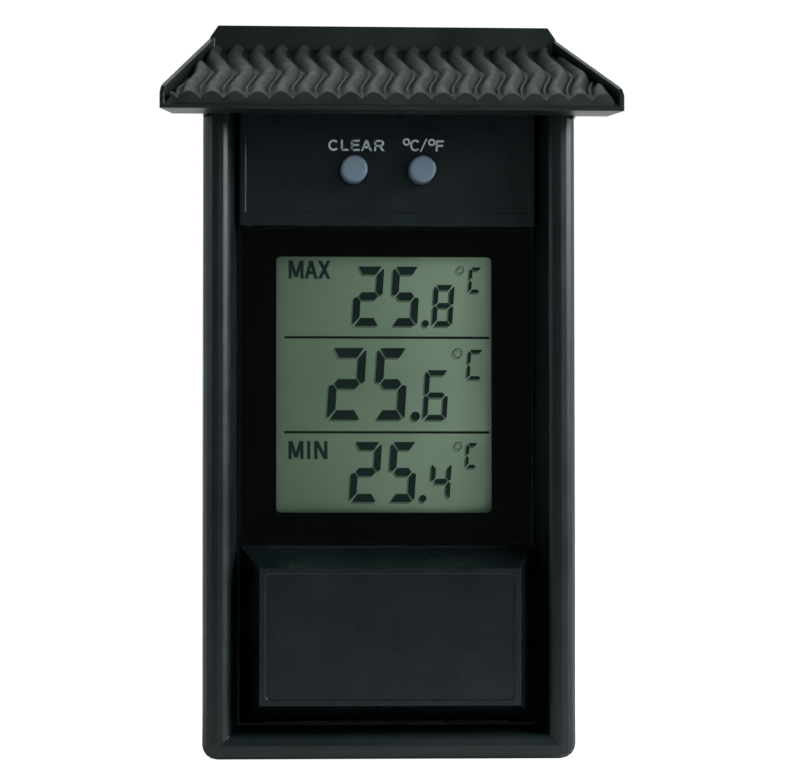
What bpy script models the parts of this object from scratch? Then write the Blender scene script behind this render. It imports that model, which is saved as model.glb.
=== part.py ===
"""A wall thermometer with a tiled roof: digital, with present, maximum and minimum readings.

The lengths below are millimetres, and solid_from() scales each mesh to metres as it makes it.
X runs to the right, +Z up and the front faces -Y. The origin is on the base, midway through the
depth: the wall is at y = WALL and the eave overhangs to y = -WALL.
"""

import math

import bmesh
import bpy
from mathutils import Matrix, Vector

MM = 0.001
GAP = 0.3

# Overall
WALL = 16.5
HEIGHT = 134.8

# Case
BODY_HALF = 33.5
BODY_TOP = 117.5
SHELL = 1.6
EDGE_ROUND = 2.7
EDGE_STEPS = 4
RAIL_FRONT = -8.5
RAIL_BACK = -6.6
CLEAR = 20.0  # a cutter this far out is clear of the case
SEAM = 9.5
NECK_Z = 115.0
NECK_STEP = 1.1
NECK_BACK_STEP = 1.5
NECK_WALL = 1.0
RAIL_INNER_HALF = 28.5
RAIL_FILLET = 2.2
RAIL_FILLET_DEEP = 1.6
RAIL_FILLET_STEPS = 4
WELL_HALF = 27.15
RAIL_INNER_Z = 4.4
WELL_Z = 5.3

# Front pieces, from the button panel back to the chassis plate
PANEL_FRONT = -1.5
PANEL_THICK = 1.8
PANEL_HALF = 26.8
PANEL_BOTTOM = 96.2
PANEL_TOP = 117.2
PANEL_RETURN = 1.4
FIELD_HALF = 25.8
FIELD_BOTTOM = 98.5
PLATE_FRONT = 4.2
PLATE_BACK = 5.4
LENS_FRONT = 2.2
LENS_THICK = 1.0
LENS_HALF = 26.6
LENS_BOTTOM = 38.6
LENS_TOP = 95.8
WINDOW_X = (-20.1, 19.4)
WINDOW_Z = (44.1, 91.0)

# Lower panel, a shallow pyramid with a flat front
LOWER_BASE_HALF = 26.8
LOWER_BASE_Z = (5.9, 38.2)
LOWER_BASE_Y = 1.9
LOWER_FACE_HALF = 23.3
LOWER_FACE_Z = (9.7, 34.1)
LOWER_FACE_Y = -8.9
LOWER_WALL = 1.4
LOWER_FIELD_RIM = 1.0
FIELD_SUNK = 0.25

# Buttons
BUTTON_X = 6.2
BUTTON_Z = 106.2
BUTTON_RADIUS = 2.43
BUTTON_STANDS_OUT = 3.3
BUTTON_EDGE = 0.45
FLANGE_RADIUS = 3.4
STEM_RADIUS = 1.5
SWITCH_FRONT = 6.9
SWITCH_HALF = 3.0
PLUNGER_RADIUS = 1.4
PLUNGER_LONG = 2.9

# Display stack and circuit board
GLASS_HALF = 22.6
GLASS_Z = (39.6, 95.0)
MASK_Y = (3.5, 3.9)
POLARIZER_Y = (5.7, 5.9)
POLARIZER_Z = (41.4, 93.2)
FRONT_GLASS_Y = (6.2, 7.2)
REAR_GLASS_Y = (7.5, 8.5)
REFLECTOR_Y = (8.8, 9.0)
FILM_HALF = 21.6
ZEBRA_HALF = 20.0
ZEBRA_Z = ((40.1, 42.1), (92.5, 94.5))
HOLDER_HALF = 23.5
HOLDER_EDGE = 0.9
BOARD_FRONT = 10.2
BOARD_THICK = 1.2
BOARD_BACK = BOARD_FRONT + BOARD_THICK
BOARD_SCREWS = [(side * 25.4, z) for z in (41.9, 97.9) for side in (-1, 1)]
CASE_SCREWS = [(side * 28.0, z) for z in (7.0, 109.0) for side in (-1, 1)]
CASE_SCREW_SEAT = 14.2
CASE_SCREW = ((2.0, 1.5), (1.0, 7.6))
BOARD_SCREW = ((1.7, 1.1), (0.8, 5.0))
CASE_BOSS_RADIUS = 2.7
CASE_BOSS_BORE = 1.35
BOARD_BOSS_RADIUS = 1.75
BOARD_BOSS_BORE = 1.1
COVER_POST_RADIUS = 3.3
COUNTERBORE_RADIUS = 2.45

# Back of the case
KEYHOLE_Z = 101.5
KEYHOLE_RADIUS = 3.4
KEYHOLE_SLOT_HALF = 1.75
KEYHOLE_LONG = 6.6
VENTS = 7
VENT_PITCH = 5.0
VENT_HALF = 0.9

# Battery bay, an AAA cell lying along X behind the lower panel
CELL_Y = 9.3
CELL_Z = 21.2
CELL_RADIUS = 5.25
CELL_ENDS = (-20.6, 23.1)
BAY_HALF = 24.9
BAY_Z = (15.4, 27.0)
BAY_FRONT = 3.6
BAY_WALL = 1.2
LEDGE_HALF = 29.2
LEDGE_Z = (10.8, 31.0)
DOOR_HALF = 26.4
DOOR_TOP = 29.6
DOOR_BACK = WALL
DOOR_THICK = 1.2
HINGE_Y = 15.2
HINGE_Z = 13.8
BARREL_RADIUS = 1.0
PIVOT_RADIUS = 0.65
PIVOT_HALF = 28.0

# Roof
EAVE_HALF = 41.1
RIDGE_HALF = 32.3
RIDGE_FRONT = 11.0
EAVE_Z = 117.4
SLOPE = 0.5
SOFFIT_Z = 115.1
SOFFIT_BACK = -9.8
RIM_WIDTH = 0.8
RIM_TRENCH = 1.0
RIM_RISE = 1.4
DECK_TOP_DROP = 1.6
DECK_THICK = 1.2
TILE_FRONT = -16.4
TILE_DROP = 1.3
TILE_PITCH = 4.08
TILE_RISE = 1.4
TILE_STEPS = 4
TILE_ROWS = 11
SWAY = 1.0
SWAY_MEAN = -0.28
SWAY_CREST = 0.52
SWAY_END = 0.88
SKIRT_INNER = 32.7
SKIRT_Z = 115.2

BODY_BLACK = ((0.011, 0.014, 0.016), 0.42, 0.0)
TILE_GREEN = ((0.045, 0.058, 0.056), 0.45, 0.0)
BUTTON_GREY = ((0.21, 0.25, 0.29), 0.38, 0.0)
LENS_CLEAR = ((0.01, 0.011, 0.012), 0.05, 0.0)
LCD_OLIVE = ((0.12, 0.16, 0.12), 0.3, 0.0)
GLASS_GREEN = ((0.25, 0.3, 0.27), 0.1, 0.0)
BOARD_GREEN = ((0.02, 0.12, 0.05), 0.5, 0.0)
RUBBER_PINK = ((0.55, 0.25, 0.25), 0.7, 0.0)
STEEL = ((0.6, 0.6, 0.58), 0.3, 1.0)
CREAM = ((0.6, 0.57, 0.5), 0.5, 0.0)
RED = ((0.5, 0.02, 0.02), 0.4, 0.0)
BLACK = ((0.01, 0.01, 0.01), 0.4, 0.0)
CELL_BLUE = ((0.03, 0.09, 0.3), 0.3, 0.3)

parts = None
cutters = None


def clear_scene():
    for obj in list(bpy.data.objects):
        bpy.data.objects.remove(obj)


def new_collection(name):
    collection = bpy.data.collections.new(name)
    bpy.context.scene.collection.children.link(collection)
    return collection


def solid_from(name, bm, origin=(0.0, 0.0, 0.0)):
    """The mesh as an object among the cutters, until finish() takes it as a part."""
    bmesh.ops.translate(bm, vec=-Vector(origin), verts=bm.verts)
    bmesh.ops.scale(bm, vec=(MM, MM, MM), verts=bm.verts)
    bmesh.ops.recalc_face_normals(bm, faces=bm.faces)
    mesh = bpy.data.meshes.new(name)
    bm.to_mesh(mesh)
    bm.free()
    obj = bpy.data.objects.new(name, mesh)
    obj.location = Vector(origin) * MM
    cutters.objects.link(obj)
    obj.hide_render = True
    obj.display_type = "WIRE"
    return obj


def finish(obj, look, parent, smooth=False):
    """Makes the object a part: its material, its place in the tree and its shading."""
    cutters.objects.unlink(obj)
    parts.objects.link(obj)
    obj.hide_render = False
    obj.display_type = "TEXTURED"
    colour, roughness, metallic = look
    material = bpy.data.materials.new(obj.name)
    material.use_nodes = True
    shader = material.node_tree.nodes["Principled BSDF"]
    shader.inputs["Base Color"].default_value = (*colour, 1.0)
    shader.inputs["Roughness"].default_value = roughness
    shader.inputs["Metallic"].default_value = metallic
    obj.data.materials.append(material)
    if smooth and obj.type == "MESH":
        obj.data.shade_smooth()
        obj.data.set_sharp_from_angle(angle=math.radians(35))
    obj.parent = parent
    obj.matrix_parent_inverse = Matrix.Translation(-parent.location)
    return obj


def joint_empty(name, place):
    empty = bpy.data.objects.new(name, None)
    empty.location = Vector(place) * MM
    empty.empty_display_size = 0.004
    parts.objects.link(empty)
    return empty


def box_mesh(x, y, z):
    bm = bmesh.new()
    bmesh.ops.create_cube(bm, size=1.0)
    bmesh.ops.scale(bm, vec=(x[1] - x[0], y[1] - y[0], z[1] - z[0]), verts=bm.verts)
    centre = Vector((sum(x), sum(y), sum(z))) / 2
    bmesh.ops.translate(bm, vec=centre, verts=bm.verts)
    return bm


def box(name, x, y, z, origin=(0.0, 0.0, 0.0)):
    return solid_from(name, box_mesh(x, y, z), origin)


def round_edges(bm, is_wanted, width, segments):
    edges = [e for e in bm.edges if is_wanted((e.verts[0].co + e.verts[1].co) / 2)]
    bmesh.ops.bevel(bm, geom=edges, offset=width, segments=segments, profile=0.5, affect="EDGES")


def taper(name, front, back, y):
    """A block whose front and back are unlike rectangles, each ((x0, x1), (z0, z1))."""
    bm = box_mesh((-1, 1), y, (-1, 1))
    for vert in bm.verts:
        xs, zs = front if vert.co.y < sum(y) / 2 else back
        vert.co.x = xs[vert.co.x > 0]
        vert.co.z = zs[vert.co.z > 0]
    return solid_from(name, bm)


def rod(name, centre, radius, ends, axis="Y", segments=24, origin=(0.0, 0.0, 0.0)):
    """A cylinder along X or Y. centre is the other two coordinates, in order."""
    bm = bmesh.new()
    length = ends[1] - ends[0]
    bmesh.ops.create_cone(
        bm, cap_ends=True, segments=segments, radius1=radius, radius2=radius, depth=length
    )
    turn = Matrix.Rotation(math.pi / 2, 4, "X" if axis == "Y" else "Y")
    middle = sum(ends) / 2
    place = (centre[0], middle, centre[1]) if axis == "Y" else (middle, centre[0], centre[1])
    bmesh.ops.transform(bm, matrix=Matrix.Translation(place) @ turn, verts=bm.verts)
    return solid_from(name, bm, origin)


def prism(name, outline, ends, axis):
    """A flat outline given a thickness. It is (x, z) along Y, (y, z) along X or (x, y) along Z."""
    curve = bpy.data.curves.new(name, "CURVE")
    curve.dimensions = "2D"
    curve.fill_mode = "BOTH"
    curve.extrude = (ends[1] - ends[0]) / 2 * MM
    spline = curve.splines.new("POLY")
    spline.points.add(len(outline) - 1)
    for point, (across, along) in zip(spline.points, outline):
        point.co = (across * MM, along * MM, 0.0, 1.0)
    spline.use_cyclic_u = True
    flat = bpy.data.objects.new(name, curve)
    cutters.objects.link(flat)
    graph = bpy.context.evaluated_depsgraph_get()
    mesh = bpy.data.meshes.new_from_object(flat.evaluated_get(graph))
    turns = {
        "X": Matrix(((0, 0, 1, 0), (1, 0, 0, 0), (0, 1, 0, 0), (0, 0, 0, 1))),
        "Y": Matrix(((1, 0, 0, 0), (0, 0, -1, 0), (0, 1, 0, 0), (0, 0, 0, 1))),
        "Z": Matrix.Identity(4),
    }
    middle = sum(ends) / 2 * MM
    shift = Vector([middle if letter == axis else 0.0 for letter in "XYZ"])
    mesh.transform(Matrix.Translation(shift) @ turns[axis])
    bpy.data.objects.remove(flat)
    bm = bmesh.new()
    bm.from_mesh(mesh)
    bpy.data.meshes.remove(mesh)
    bmesh.ops.remove_doubles(bm, verts=bm.verts, dist=1e-6)
    bmesh.ops.scale(bm, vec=(1 / MM, 1 / MM, 1 / MM), verts=bm.verts)
    return solid_from(name, bm)


def turned(name, profile, origin, facing=1, steps=24):
    """A turned piece about an axis along Y. Each profile point is (radius, height above origin).

    Height runs toward the front where facing is 1, and toward the back where it is -1.
    """
    mesh = bpy.data.meshes.new(name)
    points = [(radius * MM, 0.0, height * MM) for radius, height in profile]
    mesh.from_pydata(points, [(i, i + 1) for i in range(len(points) - 1)], [])
    obj = bpy.data.objects.new(name, mesh)
    cutters.objects.link(obj)
    obj.hide_render = True
    obj.display_type = "WIRE"
    obj.location = Vector(origin) * MM
    obj.rotation_euler = (facing * math.pi / 2, 0.0, 0.0)
    screw = obj.modifiers.new("Screw", "SCREW")
    screw.axis = "Z"
    screw.steps = steps
    screw.render_steps = steps
    screw.use_merge_vertices = True
    screw.merge_threshold = 0.00001
    screw.use_smooth_shade = True
    return obj


def boolean(obj, operation, *others):
    for other in others:
        modifier = obj.modifiers.new(other.name, "BOOLEAN")
        modifier.operation = operation
        modifier.solver = "EXACT"
        modifier.object = other


def cut(obj, *others):
    boolean(obj, "DIFFERENCE", *others)


def join(obj, *others):
    boolean(obj, "UNION", *others)


def keep_common(obj, *others):
    boolean(obj, "INTERSECT", *others)


def tube(name, points, radius, look, parent):
    curve = bpy.data.curves.new(name, "CURVE")
    curve.dimensions = "3D"
    curve.bevel_depth = radius * MM
    curve.bevel_resolution = 2
    curve.use_fill_caps = True
    spline = curve.splines.new("POLY")
    spline.points.add(len(points) - 1)
    for point, place in zip(spline.points, points):
        point.co = (*(Vector(place) * MM), 1.0)
    obj = bpy.data.objects.new(name, curve)
    cutters.objects.link(obj)
    return finish(obj, look, parent)


def smooth_route(points, steps):
    """Catmull-Rom points through a route chosen by hand."""
    ends = [2 * Vector(points[0]) - Vector(points[1]), 2 * Vector(points[-1]) - Vector(points[-2])]
    knots = [ends[0], *map(Vector, points), ends[1]]
    route = []
    for a, b, c, d in zip(knots, knots[1:], knots[2:], knots[3:]):
        for i in range(steps):
            t = i / steps
            route.append(
                0.5 * (2 * b + (c - a) * t + (2 * a - 5 * b + 4 * c - d) * t**2
                       + (3 * b - a - 3 * c + d) * t**3)
            )
    return [*route, knots[-2]]


def roof_mean_z(y):
    return EAVE_Z + SLOPE * (y + WALL)


def roof_half(y):
    """Half the roof's width, which narrows from the eave to the ridge."""
    return EAVE_HALF + (RIDGE_HALF - EAVE_HALF) * (y + WALL) / (RIDGE_FRONT + WALL)


def roof_plan(name, inset, y):
    """An upright prism over the roof's plan, drawn in from its sloping sides."""
    outline = [(-1, y[0]), (1, y[0]), (1, y[1]), (-1, y[1])]
    corners = [(side * (roof_half(at) - inset), at) for side, at in outline]
    return prism(name, corners, (110.0, 140.0), "Z")


def loft(name, rings):
    """A block through rectangles standing across Y, each (y, half width, lowest z, highest z)."""
    bm = bmesh.new()
    loops = [
        [bm.verts.new((x, y, z)) for x, z in ((-half, low), (half, low), (half, high), (-half, high))]
        for y, half, low, high in rings
    ]
    bm.faces.new(loops[0])
    bm.faces.new(list(reversed(loops[-1])))
    for near, far in zip(loops, loops[1:]):
        for i in range(4):
            j = (i + 1) % 4
            bm.faces.new((near[j], near[i], far[i], far[j]))
    return solid_from(name, bm)


def well_cutter(above):
    """The recess between the rails, whose mouth is eased along a quarter ellipse."""
    rings = [(RAIL_FRONT - 1.0, RAIL_INNER_HALF + RAIL_FILLET, RAIL_INNER_Z - RAIL_FILLET, above)]
    for step in range(RAIL_FILLET_STEPS + 1):
        turn = math.pi / 2 * step / RAIL_FILLET_STEPS
        out = RAIL_FILLET * (1 - math.sin(turn))
        y = RAIL_FRONT + RAIL_FILLET_DEEP * (1 - math.cos(turn))
        rings.append((y, RAIL_INNER_HALF + out, RAIL_INNER_Z - out, above))
    rings.append((PLATE_FRONT, WELL_HALF, WELL_Z, above))
    return loft("well", rings)


def front_frame(root):
    bm = box_mesh((-BODY_HALF, BODY_HALF), (RAIL_FRONT, SEAM), (0.0, BODY_TOP + 1.5))

    def rounded(at):
        front = abs(at.y - RAIL_FRONT) < 0.01 and at.z < BODY_TOP
        lower_corner = abs(at.z) < 0.01 and abs(abs(at.x) - BODY_HALF) < 0.01
        return front or lower_corner

    round_edges(bm, rounded, EDGE_ROUND, EDGE_STEPS)
    frame = solid_from("front_frame", bm)
    inside = BODY_HALF - SHELL
    above = BODY_TOP + 3
    neck_inside = BODY_HALF - NECK_STEP - NECK_WALL
    cut(
        frame,
        box("frame_cavity", (-inside, inside), (RAIL_BACK, SEAM + 1), (SHELL, NECK_Z - NECK_STEP)),
        box("frame_neck_cavity", (-neck_inside, neck_inside), (RAIL_BACK, SEAM + 1), (NECK_Z - 2, above)),
    )
    wall = 1.3
    well_top = BODY_TOP + 1.0
    join(
        frame,
        taper(
            "frame_well_wall",
            ((-RAIL_INNER_HALF - wall, RAIL_INNER_HALF + wall), (RAIL_INNER_Z - wall, well_top)),
            ((-WELL_HALF - wall, WELL_HALF + wall), (WELL_Z - wall, well_top)),
            (-7.0, PLATE_FRONT + 0.5),
        ),
        box("chassis_plate", (-inside - 0.8, inside + 0.8), (PLATE_FRONT, PLATE_BACK), (0.8, well_top)),
    )
    cut(frame, well_cutter(above))
    for index, (x, z) in enumerate(CASE_SCREWS):
        join(frame, rod(f"case_boss_{index}", (x, z), CASE_BOSS_RADIUS, (PLATE_BACK - 0.6, 12.1)))
        cut(frame, rod(f"case_boss_hole_{index}", (x, z), CASE_BOSS_BORE, (5.9, 13.0), segments=12))
    for index, (x, z) in enumerate(BOARD_SCREWS):
        boss = (PLATE_BACK - 0.6, BOARD_FRONT - GAP)
        join(frame, rod(f"board_boss_{index}", (x, z), BOARD_BOSS_RADIUS, boss, segments=16))
        cut(frame, rod(f"board_boss_hole_{index}", (x, z), BOARD_BOSS_BORE, (5.9, 11.0), segments=12))
    aperture_x, aperture_z = ((low - 1, high + 1) for low, high in (WINDOW_X, WINDOW_Z))
    cut(
        frame,
        box("display_aperture", aperture_x, (3, 7), aperture_z),
        box("bay_aperture", (-26.7, 26.7), (3, 7), (11.0, 31.5)),
    )
    for side in (-1, 1):
        cut(
            frame,
            rod(f"stem_hole_{side}", (side * BUTTON_X, BUTTON_Z), 2.3, (3, 7)),
            box(
                f"frame_neck_{side}",
                sorted((side * (BODY_HALF - NECK_STEP), side * (BODY_HALF + 2))),
                (-CLEAR, CLEAR),
                (NECK_Z, above),
            ),
        )
    cut(frame, box("frame_top_trim", (-2 * CLEAR, 2 * CLEAR), (-CLEAR, CLEAR), (BODY_TOP, above + 2)))
    return finish(frame, BODY_BLACK, root)


def rear_cover(root):
    bm = box_mesh((-BODY_HALF, BODY_HALF), (SEAM + GAP, WALL), (0.0, BODY_TOP + 1.5))

    def rounded(at):
        back = abs(at.y - WALL) < 0.01 and at.z < BODY_TOP
        lower_corner = abs(at.z) < 0.01 and abs(abs(at.x) - BODY_HALF) < 0.01
        return back or lower_corner

    round_edges(bm, rounded, EDGE_ROUND, EDGE_STEPS)
    cover = solid_from("rear_cover", bm)
    inside = BODY_HALF - SHELL
    above = BODY_TOP + 3
    neck_inside = BODY_HALF - NECK_STEP - NECK_WALL
    neck_back = WALL - NECK_BACK_STEP
    neck_depth = (5, neck_back - NECK_WALL)
    cut(
        cover,
        box("cover_cavity", (-inside, inside), (5, WALL - SHELL), (SHELL, NECK_Z - NECK_STEP)),
        box("cover_neck_cavity", (-neck_inside, neck_inside), neck_depth, (NECK_Z - 2, above)),
    )
    bay_outer = BAY_HALF + BAY_WALL + 0.1
    join(
        cover,
        box("bay_ledge", (-LEDGE_HALF, LEDGE_HALF), (12.7, 15.6), LEDGE_Z),
        box(
            "bay_walls",
            (-bay_outer, bay_outer),
            (BAY_FRONT - BAY_WALL, 13.5),
            (BAY_Z[0] - BAY_WALL, BAY_Z[1] + BAY_WALL),
        ),
    )
    for index, (x, z) in enumerate(CASE_SCREWS):
        join(cover, rod(f"cover_post_{index}", (x, z), COVER_POST_RADIUS, (12.4, 15.5)))
        cut(
            cover,
            rod(f"cover_counterbore_{index}", (x, z), COUNTERBORE_RADIUS, (13.9, WALL + 1)),
            rod(f"cover_screw_hole_{index}", (x, z), CASE_BOSS_BORE, (12.0, 14.5), segments=16),
        )
    room = DOOR_HALF + 0.4
    cut(
        cover,
        box("bay", (-BAY_HALF, BAY_HALF), (BAY_FRONT, WALL + 1), BAY_Z),
        box("door_recess", (-room, room), (15.0, WALL + 1), (12.4, DOOR_TOP + 0.4)),
        box("barrel_groove", (-room, room), (13.7, WALL + 1), (12.4, 15.35)),
        box("thumb_notch", (-5, 5), (15.3, WALL + 1), (DOOR_TOP, DOOR_TOP + 2.2)),
    )
    for side in (-1, 1):
        cut(
            cover,
            rod(
                f"pivot_socket_{side}",
                (HINGE_Y, HINGE_Z),
                PIVOT_RADIUS + GAP,
                sorted((side * (room - 0.3), side * 28.3)),
                axis="X",
                segments=16,
            ),
            box(f"tab_slot_{side}", sorted((side * 23.8, side * 24.9)), (9.2, 12.4), (26.5, 29.0)),
            box(
                f"cover_neck_{side}",
                sorted((side * (BODY_HALF - NECK_STEP), side * (BODY_HALF + 2))),
                (0, CLEAR),
                (NECK_Z, above),
            ),
        )
    slot = (-KEYHOLE_SLOT_HALF, KEYHOLE_SLOT_HALF)
    cut(
        cover,
        rod("keyhole_round", (0.0, KEYHOLE_Z), KEYHOLE_RADIUS, (14, WALL + 1)),
        box("keyhole_slot", slot, (14, WALL + 1), (KEYHOLE_Z, KEYHOLE_Z + KEYHOLE_LONG)),
        box("cover_neck_back", (-2 * CLEAR, 2 * CLEAR), (neck_back, CLEAR), (NECK_Z, above)),
        box("cover_top_trim", (-2 * CLEAR, 2 * CLEAR), (0, CLEAR), (BODY_TOP, above + 2)),
    )
    for number in range(VENTS):
        middle = (number - (VENTS - 1) / 2) * VENT_PITCH
        x = (middle - VENT_HALF, middle + VENT_HALF)
        cut(cover, box(f"vent_{number}", x, (14, WALL + 1), (56, 76)))
        cut(cover, box(f"base_vent_{number}", x, (11.2, 13.6), (-1, 3)))
    return finish(cover, BODY_BLACK, root)


def roof_frame(root):
    deck_top = [(y, roof_mean_z(y) - DECK_TOP_DROP) for y in (-WALL, RIDGE_FRONT + 0.5)]
    deck_bottom = [(y, z - DECK_THICK) for y, z in deck_top]
    foot = roof_mean_z(SOFFIT_BACK) - DECK_TOP_DROP - DECK_THICK
    section = [
        (-WALL, SOFFIT_Z),
        (SOFFIT_BACK, SOFFIT_Z),
        (SOFFIT_BACK, foot),
        deck_bottom[1],
        deck_top[1],
        deck_top[0],
    ]
    frame = prism("roof_frame", section, (-EAVE_HALF - 2, EAVE_HALF + 2), "X")
    keep_common(frame, roof_plan("roof_outline", 0.0, (-WALL - 1, RIDGE_FRONT + 1)))

    rim_section = [
        (-WALL, SOFFIT_Z + 0.05),
        (SOFFIT_BACK - 0.05, SOFFIT_Z + 0.05),
        (SOFFIT_BACK - 0.05, foot),
        (RIDGE_FRONT + 0.3, deck_bottom[1][1] + 0.2),
        (RIDGE_FRONT + 0.3, roof_mean_z(RIDGE_FRONT) + RIM_RISE),
        (-14.5, roof_mean_z(-14.5) + RIM_RISE),
        (-15.7, 119.1),
        (-WALL, 117.8),
    ]
    rims = prism("roof_rims", rim_section, (-EAVE_HALF - 2, EAVE_HALF + 2), "X")
    keep_common(rims, roof_plan("rim_outline", 0.0, (-WALL - 1, RIDGE_FRONT + 1)))
    cut(rims, roof_plan("rim_inside", RIM_WIDTH, (-WALL - 2, RIDGE_FRONT + 2)))
    join(frame, rims)

    attic_section = [
        (SOFFIT_BACK + 0.1, SKIRT_Z),
        (WALL, SKIRT_Z),
        (WALL, HEIGHT),
        (RIDGE_FRONT, HEIGHT),
        (RIDGE_FRONT, roof_mean_z(RIDGE_FRONT) - DECK_TOP_DROP),
        (SOFFIT_BACK + 0.1, roof_mean_z(SOFFIT_BACK) - DECK_TOP_DROP),
    ]
    attic = prism("attic", attic_section, (-BODY_HALF - 1, BODY_HALF + 1), "X")
    outline = [
        (BODY_HALF, SKIRT_Z - 1),
        (BODY_HALF, 118.5),
        (RIDGE_HALF, 128.6),
        (RIDGE_HALF, HEIGHT - 2.2),
        (RIDGE_HALF - 1.5, HEIGHT + 0.0),
    ]
    mirrored = [(-x, z) for x, z in reversed(outline)]
    keep_common(attic, prism("attic_outline", outline + mirrored, (-15, 20), "Y"))
    join(frame, attic)

    hollow_section = [
        (SOFFIT_BACK - 1.0, SKIRT_Z - 1),
        (WALL - 1.2, SKIRT_Z - 1),
        (WALL - 1.2, HEIGHT - 1.4),
        (RIDGE_FRONT + 1.4, HEIGHT - 1.4),
        (RIDGE_FRONT + 1.4, roof_mean_z(RIDGE_FRONT + 1.4) - 3.0),
        (SOFFIT_BACK - 1.0, roof_mean_z(SOFFIT_BACK - 1.0) - 3.0),
    ]
    hollow = prism("attic_hollow", hollow_section, (-SKIRT_INNER, SKIRT_INNER), "X")
    inner = [
        (SKIRT_INNER, SKIRT_Z - 2),
        (SKIRT_INNER, 118.0),
        (RIDGE_HALF - 1.4, 127.5),
        (RIDGE_HALF - 1.4, HEIGHT),
    ]
    mirrored = [(-x, z) for x, z in reversed(inner)]
    keep_common(hollow, prism("hollow_outline", inner + mirrored, (-15, 20), "Y"))
    cut(frame, hollow)
    for side in (-1, 1):
        leg = sorted((side * 15.5, side * 19.5))
        join(frame, box(f"roof_leg_{side}", leg, (6.4, 8.4), (111.5, 126.6)))
    return finish(frame, BODY_BLACK, root)


def tile_offset(along):
    """Sideways sway of the tile courses, from 0 at the ridge to 1 at the eave."""
    turn = (min(along, SWAY_END) - SWAY_CREST) / (SWAY_END - SWAY_CREST)
    return SWAY_MEAN + SWAY * math.cos(math.pi * turn)


def roof_tiles(root):
    columns = 22 * TILE_STEPS
    bm = bmesh.new()
    bmesh.ops.create_grid(bm, x_segments=columns, y_segments=TILE_ROWS, size=0.5)
    y_front = -WALL - 1.0
    y_back = RIDGE_FRONT + 1.0
    for vert in bm.verts:
        across = vert.co.x * columns / TILE_STEPS
        y = y_front + (y_back - y_front) * (vert.co.y + 0.5)
        along = min(max((RIDGE_FRONT - y) / (RIDGE_FRONT + WALL), 0.0), 1.0)
        arch = abs(math.cos(math.pi * (across - 0.5)))
        vert.co.x = across * TILE_PITCH + tile_offset(along)
        vert.co.y = y
        vert.co.z = roof_mean_z(y) + TILE_RISE * (arch - 0.5)
    edge = [e for e in bm.edges if e.is_boundary]
    made = bmesh.ops.extrude_edge_only(bm, edges=edge)["geom"]
    for vert in (g for g in made if isinstance(g, bmesh.types.BMVert)):
        vert.co.z = roof_mean_z(vert.co.y) - TILE_DROP
    rim = [g for g in made if isinstance(g, bmesh.types.BMEdge) and g.is_boundary]
    bmesh.ops.edgeloop_fill(bm, edges=rim)
    tiles = solid_from("roof_tiles", bm)
    keep_common(tiles, roof_plan("tile_outline", RIM_WIDTH + RIM_TRENCH, (TILE_FRONT, RIDGE_FRONT - GAP)))
    return finish(tiles, TILE_GREEN, root)


def button_panel(root):
    panel = box(
        "button_panel",
        (-PANEL_HALF, PANEL_HALF),
        (PANEL_FRONT, PANEL_FRONT + PANEL_THICK),
        (PANEL_BOTTOM, PANEL_TOP),
    )
    depth = (PANEL_FRONT + 0.5, PLATE_FRONT - GAP)
    join(
        panel,
        box("panel_foot", (-PANEL_HALF, PANEL_HALF), depth, (PANEL_BOTTOM, PANEL_BOTTOM + PANEL_RETURN)),
    )
    for side in (-1, 1):
        edge = sorted((side * PANEL_HALF, side * (PANEL_HALF - PANEL_RETURN)))
        join(panel, box(f"panel_side_{side}", edge, depth, (PANEL_BOTTOM + 0.5, PANEL_TOP)))
    inset = (PANEL_FRONT - 1, PANEL_FRONT + FIELD_SUNK)
    cut(panel, box("panel_inset", (-FIELD_HALF, FIELD_HALF), inset, (FIELD_BOTTOM, PANEL_TOP + 1)))
    for side in (-1, 1):
        hole = rod(f"button_hole_{side}", (side * BUTTON_X, BUTTON_Z), BUTTON_RADIUS + GAP, (-4, 2))
        cut(panel, hole)
    return finish(panel, BODY_BLACK, root)


def button(name, side, joint):
    """A cap that stands out of the panel, a flange behind it and a stem toward the switch."""
    front = BUTTON_STANDS_OUT
    flange = -PANEL_THICK - GAP
    stem_end = PANEL_FRONT - (PLATE_BACK - GAP)
    eased = BUTTON_EDGE * 0.3
    profile = [
        (0.0, front),
        (BUTTON_RADIUS - BUTTON_EDGE, front),
        (BUTTON_RADIUS - eased, front - eased),
        (BUTTON_RADIUS, front - BUTTON_EDGE),
        (BUTTON_RADIUS, flange),
        (FLANGE_RADIUS, flange),
        (FLANGE_RADIUS, flange - 1.0),
        (STEM_RADIUS, flange - 1.0),
        (STEM_RADIUS, stem_end),
        (0.0, stem_end),
    ]
    piece = turned(name, profile, (side * BUTTON_X, PANEL_FRONT, BUTTON_Z), steps=28)
    return finish(piece, BUTTON_GREY, joint)


def switch(name, side, root, joint):
    """A tactile switch: the body stays on the board and its plunger goes with the button."""
    x = side * BUTTON_X
    body = box(
        f"{name}_switch_body",
        (x - SWITCH_HALF, x + SWITCH_HALF),
        (SWITCH_FRONT, BOARD_FRONT - GAP),
        (BUTTON_Z - SWITCH_HALF, BUTTON_Z + SWITCH_HALF),
    )
    bore = PLUNGER_RADIUS + 0.5
    cut(body, rod(f"{name}_switch_bore", (x, BUTTON_Z), bore, (6, 9.3), segments=16))
    finish(body, BLACK, root)
    plunger = turned(
        f"{name}_switch_plunger",
        [(0.0, 0.0), (PLUNGER_RADIUS, 0.0), (PLUNGER_RADIUS, -PLUNGER_LONG), (0.0, -PLUNGER_LONG)],
        (x, PLATE_BACK, BUTTON_Z),
        steps=16,
    )
    finish(plunger, CREAM, joint)


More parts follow.
